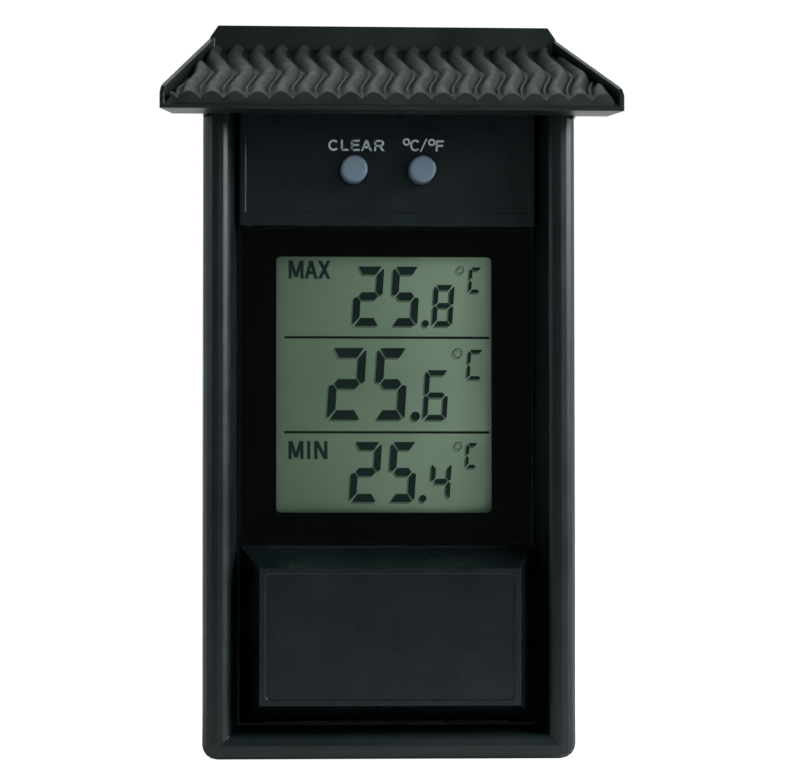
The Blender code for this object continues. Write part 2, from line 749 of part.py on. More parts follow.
def lower_panel(root):
    panel = taper(
        "lower_panel",
        ((-LOWER_FACE_HALF, LOWER_FACE_HALF), LOWER_FACE_Z),
        ((-LOWER_BASE_HALF, LOWER_BASE_HALF), LOWER_BASE_Z),
        (LOWER_FACE_Y, LOWER_BASE_Y),
    )
    wall = LOWER_WALL
    cut(
        panel,
        taper(
            "lower_panel_hollow",
            (
                (wall * 1.1 - LOWER_FACE_HALF, LOWER_FACE_HALF - wall * 1.1),
                (LOWER_FACE_Z[0] + wall * 1.1, LOWER_FACE_Z[1] - wall * 1.1),
            ),
            (
                (wall - LOWER_BASE_HALF, LOWER_BASE_HALF - wall),
                (LOWER_BASE_Z[0] + wall, LOWER_BASE_Z[1] - wall),
            ),
            (LOWER_FACE_Y + wall, LOWER_BASE_Y + 0.1),
        ),
    )
    for name, z in (("lower", (LOWER_BASE_Z[0] + 0.2, 8.6)), ("upper", (35.6, LOWER_BASE_Z[1] - 0.2))):
        join(panel, box(f"{name}_foot", (-22, 22), (LOWER_BASE_Y - 1.2, PLATE_FRONT - GAP), z))
    field_half = LOWER_FACE_HALF - LOWER_FIELD_RIM
    field_y = (LOWER_FACE_Y - 1, LOWER_FACE_Y + FIELD_SUNK)
    field_z = (LOWER_FACE_Z[0] + LOWER_FIELD_RIM, LOWER_FACE_Z[1] - LOWER_FIELD_RIM)
    bm = box_mesh((-field_half, field_half), field_y, field_z)

    def is_corner(at):
        return abs(at.y - sum(field_y) / 2) < 0.01 and abs(abs(at.x) - field_half) < 0.01

    round_edges(bm, is_corner, 0.9, 3)
    cut(panel, solid_from("lower_panel_field", bm))
    return finish(panel, BODY_BLACK, root)


def display(root):
    lens_x = (-LENS_HALF, LENS_HALF)
    lens_z = (LENS_BOTTOM, LENS_TOP)
    lens = box("display_lens", lens_x, (LENS_FRONT, LENS_FRONT + LENS_THICK), lens_z)
    finish(lens, LENS_CLEAR, root)
    mask = box("window_mask", lens_x, MASK_Y, lens_z)
    bm = box_mesh(WINDOW_X, (3, 5), WINDOW_Z)
    round_edges(bm, lambda at: abs(at.y - 4) < 0.01, 0.8, 3)
    cut(mask, solid_from("window", bm))
    finish(mask, BLACK, root)

    glass_x = (-GLASS_HALF, GLASS_HALF)
    film_x = (-FILM_HALF, FILM_HALF)
    rear_z = (GLASS_Z[0] + 2.8, GLASS_Z[1] - 2.8)
    layers = [
        ("lcd_front_polarizer", film_x, POLARIZER_Y, POLARIZER_Z, LCD_OLIVE),
        ("lcd_front_glass", glass_x, FRONT_GLASS_Y, GLASS_Z, GLASS_GREEN),
        ("lcd_rear_glass", glass_x, REAR_GLASS_Y, rear_z, GLASS_GREEN),
        ("lcd_reflector", film_x, REFLECTOR_Y, (rear_z[0] + 0.8, rear_z[1] - 0.8), LCD_OLIVE),
    ]
    for name, x, y, z, look in layers:
        finish(box(name, x, y, z), look, root)
    zebra_y = (REAR_GLASS_Y[0], BOARD_FRONT - GAP)
    for which, z in zip(("lower", "upper"), ZEBRA_Z):
        finish(box(f"zebra_strip_{which}", (-ZEBRA_HALF, ZEBRA_HALF), zebra_y, z), RUBBER_PINK, root)
    holder_z = (GLASS_Z[0] - HOLDER_EDGE, GLASS_Z[1] + HOLDER_EDGE)
    holder = box("lcd_holder", (-HOLDER_HALF, HOLDER_HALF), (POLARIZER_Y[0], BOARD_FRONT - GAP), holder_z)
    opening = GLASS_HALF + GAP
    cut(holder, box("holder_opening", (-opening, opening), (5, 11), (GLASS_Z[0] - GAP, GLASS_Z[1] + GAP)))
    finish(holder, CREAM, root)


def circuit_board(root):
    board = box("main_board", (-27.4, 27.4), (BOARD_FRONT, BOARD_BACK), (39.9, 100.4))
    join(board, box("board_neck", (-13.8, 13.8), (BOARD_FRONT, BOARD_BACK), (99.0, 112.5)))
    for index, (x, z) in enumerate(BOARD_SCREWS):
        cut(board, rod(f"board_hole_{index}", (x, z), 1.2, (9, 13), segments=12))
    finish(board, BOARD_GREEN, root)
    top = BOARD_BACK + GAP
    dome = [(0.0, 1.3), (2.0, 1.15), (3.6, 0.75), (4.4, 0.0), (0.0, 0.0)]
    finish(turned("chip_blob", dome, (0.0, top, 84.0), facing=-1), BLACK, root)
    chips = [
        ("resistor_1", -9.0, 49.0, (2.0, 1.2, 0.5), BLACK),
        ("resistor_2", -5.0, 49.0, (2.0, 1.2, 0.5), BLACK),
        ("resistor_3", 10.0, 81.0, (1.2, 2.0, 0.5), BLACK),
        ("capacitor_1", -10.0, 86.0, (1.2, 2.0, 0.9), CREAM),
        ("capacitor_2", 10.0, 88.0, (1.2, 2.0, 0.9), CREAM),
    ]
    for name, x, z, (wide, tall, thick), look in chips:
        chip = box(name, (x - wide / 2, x + wide / 2), (top, top + thick), (z - tall / 2, z + tall / 2))
        finish(chip, look, root)
    crystal = rod("crystal", (top + 1.0, 77.0), 1.0, (-6.0, 0.0), axis="X", segments=16)
    finish(crystal, STEEL, root)
    bead = [(0.0, 2.4), (0.7, 2.1), (1.1, 1.3), (0.9, 0.5), (0.0, 0.2)]
    finish(turned("thermistor", bead, (0.0, top - 0.2, 66.0), facing=-1, steps=16), BLACK, root)


def screw(name, x, y_seat, z, head, shank, root):
    """A pan-head screw driven from the back. head and shank are (radius, length)."""
    head_radius, head_height = head
    profile = [
        (0.0, head_height),
        (head_radius * 0.6, head_height),
        (head_radius * 0.9, head_height * 0.8),
        (head_radius, head_height * 0.4),
        (head_radius, 0.0),
        (shank[0], 0.0),
        (shank[0], -shank[1] + 0.8),
        (0.0, -shank[1]),
    ]
    piece = turned(name, profile, (x, y_seat, z), facing=-1, steps=16)
    top = y_seat + head_height
    slot = head_radius * 0.62
    thin = 0.28
    deep = (top - 0.7, top + 1)
    cut(
        piece,
        box(f"{name}_across", (x - slot, x + slot), deep, (z - thin, z + thin)),
        box(f"{name}_down", (x - thin, x + thin), deep, (z - slot, z + slot)),
    )
    return finish(piece, STEEL, root)


def screws(root):
    for index, (x, z) in enumerate(CASE_SCREWS):
        screw(f"case_screw_{index + 1}", x, CASE_SCREW_SEAT, z, *CASE_SCREW, root)
    for index, (x, z) in enumerate(BOARD_SCREWS):
        screw(f"board_screw_{index + 1}", x, BOARD_BACK + GAP, z, *BOARD_SCREW, root)


def battery(root):
    can = rod("battery_cell", (CELL_Y, CELL_Z), CELL_RADIUS, CELL_ENDS, axis="X", segments=32)
    nub = (CELL_ENDS[1] - 1, CELL_ENDS[1] + 0.8)
    join(can, rod("cell_nub", (CELL_Y, CELL_Z), 1.9, nub, axis="X", segments=20))
    finish(can, CELL_BLUE, root)
    for name, side in (("positive_contact", 1), ("negative_contact", -1)):
        sheet = sorted((side * 24.2, side * 24.6))
        contact = box(name, sheet, (5.6, 13.2), (17.0, 25.6))
        join(contact, box(f"{name}_tab", sheet, (9.6, 12.0), (25.0, 32.0)))
        finish(contact, STEEL, root)
    turns = 3.5
    points = 42
    route = []
    for i in range(points + 1):
        share = i / points
        radius = 3.4 - 1.5 * share
        angle = 2 * math.pi * turns * share
        x = -23.5 + 2.2 * share
        route.append((x, CELL_Y + radius * math.cos(angle), CELL_Z + radius * math.sin(angle)))
    tube("contact_spring", route, 0.22, STEEL, root)
    wire_y = BOARD_BACK + GAP + 0.5
    for name, side, look in (("battery_wire_red", 1, RED), ("battery_wire_black", -1, BLACK)):
        route = [
            (side * 24.4, 10.8, 32.7),
            (side * 24.3, 11.3, 34.6),
            (side * 23.2, wire_y - 0.1, 37.2),
            (side * 21.2, wire_y, 39.6),
            (side * 19.4, wire_y, 42.6),
            (side * 18.8, wire_y, 45.4),
        ]
        tube(name, smooth_route(route, 3), 0.45, look, root)


def battery_door(joint):
    door = box(
        "battery_door",
        (-DOOR_HALF, DOOR_HALF),
        (DOOR_BACK - DOOR_THICK, DOOR_BACK),
        (HINGE_Z + 0.1, DOOR_TOP),
        origin=(0.0, HINGE_Y, HINGE_Z),
    )
    centre = (HINGE_Y, HINGE_Z)
    barrel = (0.2 - DOOR_HALF, DOOR_HALF - 0.2)
    join(
        door,
        rod("door_barrel", centre, BARREL_RADIUS, barrel, axis="X", segments=20),
        rod("door_pivots", centre, PIVOT_RADIUS, (-PIVOT_HALF, PIVOT_HALF), axis="X", segments=12),
    )
    for number in range(3):
        z = DOOR_TOP - 2.4 - 1.6 * number
        cut(door, box(f"grip_{number}", (-6, 6), (DOOR_BACK - 0.35, DOOR_BACK + 1), (z - 0.35, z + 0.35)))
    return finish(door, BODY_BLACK, joint)


def main():
    global parts, cutters
    clear_scene()
    parts = new_collection("maximum_minimum_thermometer")
    cutters = new_collection("cutters")
    cutters.hide_render = True
    root = joint_empty("thermometer", (0.0, 0.0, 0.0))
    clear_press = joint_empty("clear_button_axis", (-BUTTON_X, PANEL_FRONT, BUTTON_Z))
    unit_press = joint_empty("unit_button_axis", (BUTTON_X, PANEL_FRONT, BUTTON_Z))
    hinge = joint_empty("battery_door_hinge", (0.0, HINGE_Y, HINGE_Z))
    front_frame(root)
    rear_cover(root)
    roof_frame(root)
    roof_tiles(root)
    button_panel(root)
    lower_panel(root)
    display(root)
    circuit_board(root)
    button("clear_button", -1, clear_press)
    button("unit_button", 1, unit_press)
    switch("clear", -1, root, clear_press)
    switch("unit", 1, root, unit_press)
    battery(root)
    battery_door(hinge)
    screws(root)


main()
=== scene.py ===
import math

import bmesh
import bpy
from mathutils import Euler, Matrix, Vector, noise


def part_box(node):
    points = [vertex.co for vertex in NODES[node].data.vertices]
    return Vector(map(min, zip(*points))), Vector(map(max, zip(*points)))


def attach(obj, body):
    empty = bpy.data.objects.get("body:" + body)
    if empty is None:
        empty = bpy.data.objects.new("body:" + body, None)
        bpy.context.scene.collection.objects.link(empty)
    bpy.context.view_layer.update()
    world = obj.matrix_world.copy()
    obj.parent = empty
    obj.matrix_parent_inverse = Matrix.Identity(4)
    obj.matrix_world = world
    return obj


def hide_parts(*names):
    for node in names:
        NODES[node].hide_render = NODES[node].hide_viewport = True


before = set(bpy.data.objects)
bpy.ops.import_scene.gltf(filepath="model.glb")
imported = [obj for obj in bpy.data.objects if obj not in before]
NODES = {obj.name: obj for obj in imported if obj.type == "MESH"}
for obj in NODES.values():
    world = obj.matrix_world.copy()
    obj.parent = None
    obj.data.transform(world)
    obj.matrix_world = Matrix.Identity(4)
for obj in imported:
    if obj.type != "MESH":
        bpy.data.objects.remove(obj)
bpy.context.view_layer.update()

# Lengths in this file are millimetres in the frame's axes unless a name says otherwise.
MM = 0.001


def linear(red, green, blue):
    """A display colour from 0 to 255 as the linear colour that a shader takes."""
    def one(value):
        value /= 255
        return value / 12.92 if value <= 0.04045 else ((value + 0.055) / 1.055) ** 2.4

    return (one(red), one(green), one(blue), 1.0)


def node_box(name):
    """The lowest and highest corner of a CAD node in millimetres."""
    low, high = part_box(name)
    return low / MM, high / MM


# Materials

INNER_EASE = 0.12
CELL_BAND = 12.9
CELL_TIP = 1.3
# The X span in millimetres over which the display films' painted light runs from shaded to lit.
FILM_PAINTED_LIGHT_SPAN = (-20, 16)


class Look:
    """A material while its nodes are being joined up. Scales are in features per millimetre."""

    def __init__(self, name):
        self.material = bpy.data.materials.new(name)
        self.material.use_nodes = True
        self.tree = self.material.node_tree
        self.shader = self.tree.nodes["Principled BSDF"]
        self.output = self.tree.nodes["Material Output"]
        self.place = self.add("ShaderNodeTexCoord").outputs["Object"]
        self.tree.nodes.active = self.shader

    def add(self, kind, inputs=None, **settings):
        node = self.tree.nodes.new(kind)
        for key, value in settings.items():
            setattr(node, key, value)
        for key, value in (inputs or {}).items():
            self.feed(node.inputs[key], value)
        return node

    def feed(self, socket, value):
        if isinstance(value, bpy.types.NodeSocket):
            self.tree.links.new(value, socket)
        else:
            socket.default_value = value

    def set(self, **inputs):
        for key, value in inputs.items():
            self.feed(self.shader.inputs[key.replace("_", " ")], value)
        return self

    def noise(self, scale, detail=2.0, roughness=0.5, at=None):
        inputs = {"Vector": at or self.place, "Scale": scale / MM, "Detail": detail, "Roughness": roughness}
        return self.add("ShaderNodeTexNoise", inputs).outputs["Fac"]

    def stretched(self, scale):
        """The place on the surface with each axis scaled on its own."""
        return self.add("ShaderNodeMapping", {"Vector": self.place, "Scale": scale}).outputs["Vector"]

    def axis(self, letter):
        return self.add("ShaderNodeSeparateXYZ", {"Vector": self.place}).outputs[letter]

    def span(self, value, low, high, to=(0.0, 1.0)):
        inputs = {"Value": value, "From Min": low, "From Max": high, "To Min": to[0], "To Max": to[1]}
        return self.add("ShaderNodeMapRange", inputs, interpolation_type="SMOOTHSTEP").outputs["Result"]

    def math(self, operation, first, second=0.0):
        return self.add("ShaderNodeMath", {0: first, 1: second}, operation=operation).outputs["Value"]

    def mix(self, share, first, second):
        """Two colours mixed. A Mix node keeps its colour sockets at 6, 7 and, going out, 2."""
        node = self.add("ShaderNodeMix", data_type="RGBA")
        for socket, value in ((0, share), (6, first), (7, second)):
            self.feed(node.inputs[socket], value)
        return node.outputs[2]

    def rounded(self, radius):
        """The surface's normal with every edge eased, as a mould leaves it."""
        return self.add("ShaderNodeBevel", {"Radius": radius * MM}, samples=4).outputs["Normal"]

    def edge(self, radius):
        """1 on the very edge of a shape, falling to 0 beside it."""
        true = self.add("ShaderNodeNewGeometry").outputs["Normal"]
        both = {0: self.rounded(radius), 1: true}
        same = self.add("ShaderNodeVectorMath", both, operation="DOT_PRODUCT").outputs["Value"]
        return self.span(same, 0.99, 0.8)

    def bump(self, height, depth, over=None):
        inputs = {"Height": height, "Distance": depth * MM, "Strength": 1.0}
        if over is not None:
            inputs["Normal"] = over
        return self.add("ShaderNodeBump", inputs).outputs["Normal"]


def moulded_plastic(name, colour, lighter, roughness, grain=0.004, ease=0.28, wear=0.12):
    """Satin moulded plastic: a fine spark-eroded grain, slow colour drift, rubbed edges and a little dust."""
    look = Look(name)
    drift = look.noise(0.045, 3.0)
    dust = look.span(look.noise(1.9, 4.0, 0.7), 0.66, 0.8, (0.0, 0.07))
    worn = look.edge(ease * 1.3)
    base = look.mix(look.span(drift, 0.35, 0.65), colour, lighter)
    base = look.mix(dust, base, linear(92, 96, 96))
    base = look.mix(look.math("MULTIPLY", worn, wear), base, linear(66, 76, 76))
    rough = look.span(look.noise(0.12, 3.0), 0.3, 0.7, (roughness - 0.04, roughness + 0.05))
    rough = look.math("SUBTRACT", rough, look.math("MULTIPLY", worn, 0.1))
    fine = look.noise(7.0, 3.0, 0.6)
    coarse = look.noise(0.09, 2.0)
    height = look.math("ADD", look.math("MULTIPLY", fine, grain), look.math("MULTIPLY", coarse, 0.05))
    normal = look.bump(height, 1.0, look.rounded(ease))
    look.set(Base_Color=base, Roughness=rough, Normal=normal)
    return look.material


def tile_plastic():
    """The roof's grey-green plastic, worn on its ribs, with painted shade that darkens its valleys and the
    tiles under the ridge.
    """
    look = Look("tile_plastic")
    rise = look.add("ShaderNodeAttribute", attribute_name="rise", attribute_type="GEOMETRY").outputs["Fac"]
    patch = look.span(look.noise(0.11, 4.0, 0.6), 0.35, 0.68)
    base = look.mix(patch, linear(18, 28, 26), linear(28, 38, 35))
    # Painted shade: the valleys and the sheet's sides, where rise is low, darken toward a near-black green.
    base = look.mix(look.span(rise, 0.55, 0.0), base, linear(12, 18, 18))
    worn = look.math("MULTIPLY", look.span(rise, 0.82, 1.0), look.span(look.noise(0.5, 4.0), 0.45, 0.7))
    base = look.mix(look.math("MULTIPLY", worn, 0.25), base, linear(84, 94, 90))
    # Painted shade under the ridge board: the colour darkens toward the ridge, and there the plastic is also
    # rougher and less glossy.
    ridge_shade_and_dullness = look.span(look.axis("Y"), -6 * MM, 9 * MM)
    base = look.mix(look.math("MULTIPLY", ridge_shade_and_dullness, 0.6), base, linear(14, 20, 19))
    rough = look.span(look.noise(0.4, 4.0, 0.6), 0.3, 0.7, (0.38, 0.52))
    rough = look.math("ADD", rough, look.math("MULTIPLY", ridge_shade_and_dullness, 0.25))
    look.set(Specular_IOR_Level=look.span(ridge_shade_and_dullness, 0.0, 1.0, (0.5, 0.25)))
    height = look.math("ADD", look.math("MULTIPLY", look.noise(5.0, 3.0, 0.6), 0.008),
                       look.math("MULTIPLY", look.noise(0.5, 3.0), 0.07))
    look.set(Base_Color=base, Roughness=rough, Normal=look.bump(height, 1.0))
    return look.material


def lens_plastic():
    """Clear acrylic: what shows is its gloss, so it is see-through apart from the Fresnel reflection."""
    look = Look("clear_lens")
    look.tree.nodes.remove(look.shader)
    ripple = look.bump(look.noise(0.05, 1.0), 0.02)
    gloss = look.add("ShaderNodeBsdfGlossy", {"Color": (1, 1, 1, 1), "Normal": ripple})
    smear = look.span(look.noise(0.15, 4.0, 0.6), 0.4, 0.7, (0.03, 0.1))
    look.feed(gloss.inputs["Roughness"], smear)
    clear = look.add("ShaderNodeBsdfTransparent", {"Color": (0.97, 0.98, 0.97, 1)})
    facing = look.add("ShaderNodeFresnel", {"IOR": 1.25})
    share = {0: facing.outputs["Fac"], 1: clear.outputs["BSDF"], 2: gloss.outputs["BSDF"]}
    both = look.add("ShaderNodeMixShader", share)
    look.feed(look.output.inputs["Surface"], both.outputs["Shader"])
    return look.material


def mask_print():
    """The black border printed round the window."""
    look = Look("mask_print")
    speck = look.span(look.noise(2.5, 4.0, 0.7), 0.64, 0.8, (0.0, 0.15))
    base = look.mix(speck, linear(2, 5, 3), linear(18, 24, 22))
    look.set(Base_Color=base, Roughness=look.span(look.noise(0.6, 3.0), 0.3, 0.7, (0.55, 0.7)))
    look.shader.inputs["Specular IOR Level"].default_value = 0.05
    return look.material


def display_film(name, near, far):
    """The display's olive film, with a fine metallic grain and painted light: paler toward +X, darker toward
    -X.
    """
    look = Look(name)
    # Painted light: the colour runs from near, the shaded end toward -X, to far, the lit end toward +X.
    across = look.span(look.axis("X"), FILM_PAINTED_LIGHT_SPAN[0] * MM, FILM_PAINTED_LIGHT_SPAN[1] * MM)
    base = look.mix(across, near, far)
    grain = look.noise(9.0, 3.0, 0.8)
    base = look.mix(look.span(grain, 0.25, 0.75, (0.0, 0.2)), base, linear(176, 196, 172))
    cloud = look.span(look.noise(0.05, 3.0), 0.35, 0.65, (0.0, 0.25))
    base = look.mix(cloud, base, linear(120, 142, 124))
    look.set(Base_Color=base, Roughness=look.span(grain, 0.3, 0.7, (0.42, 0.6)))
    look.set(Normal=look.bump(grain, 0.004))
    look.shader.inputs["Specular IOR Level"].default_value = 0.35
    return look.material


def liquid_crystal(name, colour, fleck):
    """Darkened liquid crystal, with the film's grain showing through."""
    look = Look(name)
    grain = look.noise(6.0, 3.0, 0.7)
    look.set(Base_Color=look.mix(look.span(grain, 0.35, 0.7), colour, fleck))
    look.set(Roughness=look.span(grain, 0.3, 0.7, (0.45, 0.6)))
    look.shader.inputs["Specular IOR Level"].default_value = 0.3
    return look.material


def printed_ink():
    """Pad-printed legends: pale grey ink, a little thin and broken at this scale."""
    look = Look("printed_ink")
    thin = look.span(look.noise(6.0, 3.0, 0.7), 0.35, 0.62)
    look.set(Base_Color=look.mix(thin, linear(190, 200, 205), linear(216, 224, 228)))
    look.set(Roughness=look.span(look.noise(3.0), 0.3, 0.7, (0.5, 0.65)), Normal=look.bump(thin, 0.01))
    return look.material


def stamped_steel():
    """Plated sheet steel with fine brush marks, a little tarnished."""
    look = Look("stamped_steel")
    brushed = look.noise(1.0, 3.0, 0.6, look.stretched((8.0, 1.0, 1.0)))
    base = look.mix(look.span(brushed, 0.3, 0.7), linear(150, 150, 146), linear(196, 196, 190))
    tarnish = look.span(look.noise(0.4, 4.0), 0.55, 0.75, (0.0, 0.5))
    look.set(Base_Color=look.mix(tarnish, base, linear(120, 112, 98)))
    look.set(Roughness=look.span(brushed, 0.3, 0.7, (0.25, 0.42)))
    look.set(Normal=look.bump(brushed, 0.006, look.rounded(INNER_EASE)))
    look.shader.inputs["Metallic"].default_value = 1.0
    return look.material


def plain_look(name, colour, other, roughness, scale=0.8, grain=0.01):
    """A small inner part: mottled colour, uneven gloss and a slight texture."""
    look = Look(name)
    mottle = look.noise(scale, 4.0, 0.6)
    look.set(Base_Color=look.mix(look.span(mottle, 0.35, 0.65), colour, other))
    look.set(Roughness=look.span(look.noise(scale * 2), 0.3, 0.7, (roughness - 0.06, roughness + 0.06)))
    look.set(Normal=look.bump(look.noise(scale * 5, 3.0), grain, look.rounded(INNER_EASE)))
    return look.material


def striped_look(name, colour, stripe, letter, pitch, share, roughness):
    """Fine bands along one axis, as on a zebra strip."""
    look = Look(name)
    turns = look.math("FRACT", look.math("DIVIDE", look.axis(letter), pitch * MM))
    band = look.math("LESS_THAN", turns, share)
    base = look.mix(band, colour, stripe)
    fleck = look.span(look.noise(2.0, 3.0), 0.4, 0.7, (0.0, 0.3))
    look.set(Base_Color=look.mix(fleck, base, linear(60, 60, 60)))
    look.set(Roughness=look.span(look.noise(1.0), 0.3, 0.7, (roughness - 0.05, roughness + 0.08)))
    look.set(Normal=look.bump(look.noise(3.0), 0.01))
    return look.material


def circuit_look():
    """Green solder mask with paler copper runs under it."""
    look = Look("solder_mask")
    cells = look.add("ShaderNodeTexVoronoi", {"Vector": look.place, "Scale": 0.28 / MM},
                     distance="MANHATTAN", feature="DISTANCE_TO_EDGE").outputs["Distance"]
    track = look.math("LESS_THAN", cells, 0.09)
    base = look.mix(track, linear(18, 74, 44), linear(44, 112, 66))
    base = look.mix(look.span(look.noise(0.3, 3.0), 0.4, 0.7, (0.0, 0.3)), base, linear(12, 50, 30))
    look.set(Base_Color=base, Roughness=look.span(look.noise(1.0), 0.3, 0.7, (0.3, 0.45)))
    look.set(Normal=look.bump(track, 0.03))
    return look.material


def cell_wrapper():
    """A plain shrink-wrapped cell: dark blue with a pale band toward the positive end."""
    look = Look("cell_wrapper")
    along = look.axis("X")
    end = node_box("battery_cell")[1].x
    band = look.math("GREATER_THAN", along, (end - CELL_BAND) * MM)
    base = look.mix(band, linear(24, 46, 98), linear(176, 164, 122))
    tip = look.math("GREATER_THAN", along, (end - CELL_TIP) * MM)
    base = look.mix(tip, base, linear(200, 200, 194))
    scuff = look.span(look.noise(0.5, 4.0, 0.6, look.stretched((0.2, 1.0, 1.0))), 0.5, 0.75, (0.0, 0.3))
    look.set(Base_Color=look.mix(scuff, base, linear(120, 124, 130)))
    look.set(Roughness=look.span(look.noise(0.6), 0.3, 0.7, (0.22, 0.36)))
    look.set(Metallic=look.math("MULTIPLY", tip, 0.9))
    look.set(Normal=look.bump(look.noise(0.8, 3.0), 0.03))
    return look.material


def dress(material, *names):
    """Gives CAD nodes a finish, and smooth shading that stays crisp at real edges."""
    for name in names:
        mesh = NODES[name].data
        mesh.materials.clear()
        mesh.materials.append(material)
        mesh.shade_smooth()
        mesh.set_sharp_from_angle(angle=math.radians(32))


def numbered(stem, count):
    return [f"{stem}_{i + 1}" for i in range(count)]


def dress_case():
    body = moulded_plastic("body_plastic", linear(17, 25, 26), linear(22, 30, 31), 0.32, ease=0.35)
    field = moulded_plastic("panel_plastic", linear(17, 25, 28), linear(22, 30, 34), 0.3, grain=0.003)
    # Painted shade: the lower panel is the same plastic as the button panel, given here as a darker copy for
    # the shade on its face.
    lower = moulded_plastic("lower_plastic_shaded", linear(9, 18, 20), linear(13, 22, 25), 0.3, grain=0.003)
    roof = moulded_plastic("roof_plastic", linear(13, 22, 21), linear(20, 29, 28), 0.36, 0.006, 0.25, 0.5)
    button = moulded_plastic("button_plastic", linear(104, 120, 134), linear(112, 129, 143), 0.4, 0.003, 0.3)
    dress(body, "front_frame", "rear_cover", "battery_door")
    dress(field, "button_panel")
    dress(lower, "lower_panel")
    dress(roof, "roof_frame")
    dress(button, "clear_button", "unit_button")


def dress_display():
    # Painted light: each film's first colour is its shaded end toward -X, the second its lit end toward +X.
    polarizer = display_film("polarizer_film", linear(136, 157, 132), linear(186, 207, 180))
    reflector = display_film("reflector_film", linear(120, 130, 116), linear(136, 146, 130))
    glass = plain_look("lcd_glass", linear(120, 138, 126), linear(132, 150, 138), 0.15, 0.3, 0.002)
    zebra = striped_look("zebra_rubber", linear(186, 126, 120), linear(40, 34, 34), "X", 0.5, 0.4, 0.65)
    dress(lens_plastic(), "display_lens")
    dress(mask_print(), "window_mask")
    dress(polarizer, "lcd_front_polarizer")
    dress(reflector, "lcd_reflector")
    dress(glass, "lcd_front_glass", "lcd_rear_glass")
    dress(zebra, "zebra_strip_lower", "zebra_strip_upper")


def dress_inside():
    cream = plain_look("cream_plastic", linear(196, 190, 172), linear(208, 202, 186), 0.5)
    epoxy = plain_look("black_epoxy", linear(24, 24, 26), linear(34, 34, 36), 0.45)
    red = plain_look("wire_red", linear(150, 26, 24), linear(168, 34, 30), 0.42)
    black = plain_look("wire_black", linear(22, 22, 24), linear(32, 32, 34), 0.42)
    steel = stamped_steel()
    dress(cream, "lcd_holder", "clear_switch_plunger", "unit_switch_plunger", *numbered("capacitor", 2))
    dress(circuit_look(), "main_board")
    dress(epoxy, "chip_blob", "thermistor", "clear_switch_body", "unit_switch_body", *numbered("resistor", 3))
    dress(steel, "crystal", "contact_spring", "positive_contact", "negative_contact")
    dress(steel, *numbered("case_screw", 4), *numbered("board_screw", 4))
    dress(cell_wrapper(), "battery_cell")
    dress(red, "battery_wire_red")
    dress(black, "battery_wire_black")


# Pieces

def add_piece(name, bm, material, body):
    """A mesh in millimetres as a piece of the object that rides on a body."""
    bmesh.ops.scale(bm, vec=(MM, MM, MM), verts=bm.verts)
    bmesh.ops.recalc_face_normals(bm, faces=bm.faces)
    mesh = bpy.data.meshes.new(name)
    bm.to_mesh(mesh)
    bm.free()
    mesh.materials.append(material)
    obj = bpy.data.objects.new(name, mesh)
    bpy.context.scene.collection.objects.link(obj)
    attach(obj, body)
    return obj


def slab(bm, outline, front, back):
    """A flat outline of (x, z) points, given a thickness along Y."""
    near = [bm.verts.new((x, front, z)) for x, z in outline]
    far = [bm.verts.new((x, back, z)) for x, z in outline]
    bm.faces.new(near)
    bm.faces.new(list(reversed(far)))
    for i in range(len(outline)):
        j = (i + 1) % len(outline)
        bm.faces.new((near[j], near[i], far[i], far[j]))


# Roof tiles

ROOF_SLOPE = 0.5
ROOF_TAPER = 0.32
TILE_PITCH = 4.08
TILE_RISE = 1.4
TILE_LAP = 0.05
TILE_FOOT = 1.52
TILE_COLUMNS = 620
TILE_ROWS = 96
SWAY_MEAN = -0.28
SWAY_CREST = 0.52
SWAY_END = 0.88
BESIDE_HALF = 0.11
RIDGE_FADE = 0.05


def smooth_step(low, high, value):
    share = min(max((value - low) / (high - low), 0.0), 1.0)
    return share * share * (3 - 2 * share)


def tile_sway(along):
    """How far the ribs lie to one side in millimetres, where along is 0 at the ridge and 1 at the eave."""
    turn = (min(along, SWAY_END) - SWAY_CREST) / (SWAY_END - SWAY_CREST)
    return SWAY_MEAN + math.cos(math.pi * turn)


def tile_height(x, along):
    """Height of the pressed tiles over their valleys, from 0 to 1.

    Each rib has a second, lower ridge beside it in the lower half of the roof, which fades at the eave.
    """
    turn = (x - tile_sway(along)) / TILE_PITCH
    off_crest = abs(turn - math.floor(turn) - 0.5)
    off_valley = 0.5 - off_crest
    low_half = smooth_step(0.4, 0.62, along)
    at_eave = smooth_step(0.86, 1.0, along)
    half_rib = 0.28 + 0.18 * smooth_step(0.0, 0.32, along) - 0.09 * low_half + 0.13 * at_eave
    rib = 0.0
    if off_crest < half_rib:
        rib = math.cos(math.pi / 2 * off_crest / half_rib) ** (0.75 + 0.2 * at_eave)
    beside = 0.0
    if off_valley < BESIDE_HALF:
        beside = 0.5 * low_half * (1 - at_eave) * math.cos(math.pi / 2 * off_valley / BESIDE_HALF) ** 0.8
    near_ridge = min(along / RIDGE_FADE, 1.0)
    return max(rib, beside) * math.sqrt(max(1 - (1 - near_ridge) ** 2, 0.0))


def tile_row(bm, rise, share, y, half, middle):
    """One row of the sheet across the roof. share runs from 0 at the eave to 1 at the ridge."""
    row = []
    for column in range(TILE_COLUMNS + 1):
        x = half * (2 * column / TILE_COLUMNS - 1)
        height = tile_height(x, 1 - share)
        worn = noise.noise(Vector((x * 0.35, y * 0.35, 1.7))) * 0.06
        vert = bm.verts.new((x, y, middle + TILE_RISE * (height - 0.5) + worn * height))
        vert[rise] = height
        row.append(vert)
    return row


def close_under(bm, rise, rows, middle_at):
    """Sides round the sheet and a flat underside, which follows the roof's slope."""
    border = rows[0] + [row[-1] for row in rows[1:]] + list(reversed(rows[-1][:-1]))
    border += [row[0] for row in reversed(rows[1:-1])]
    under = []
    for vert in border:
        foot = bm.verts.new((vert.co.x, vert.co.y, middle_at(vert.co.y) - TILE_FOOT))
        # A low rise, so the sheet's sides and underside take the valleys' painted shade.
        foot[rise] = 0.2
        under.append(foot)
    for i in range(len(border)):
        j = (i + 1) % len(border)
        bm.faces.new((border[i], border[j], under[j], under[i]))
    bm.faces.new(list(reversed(under)))


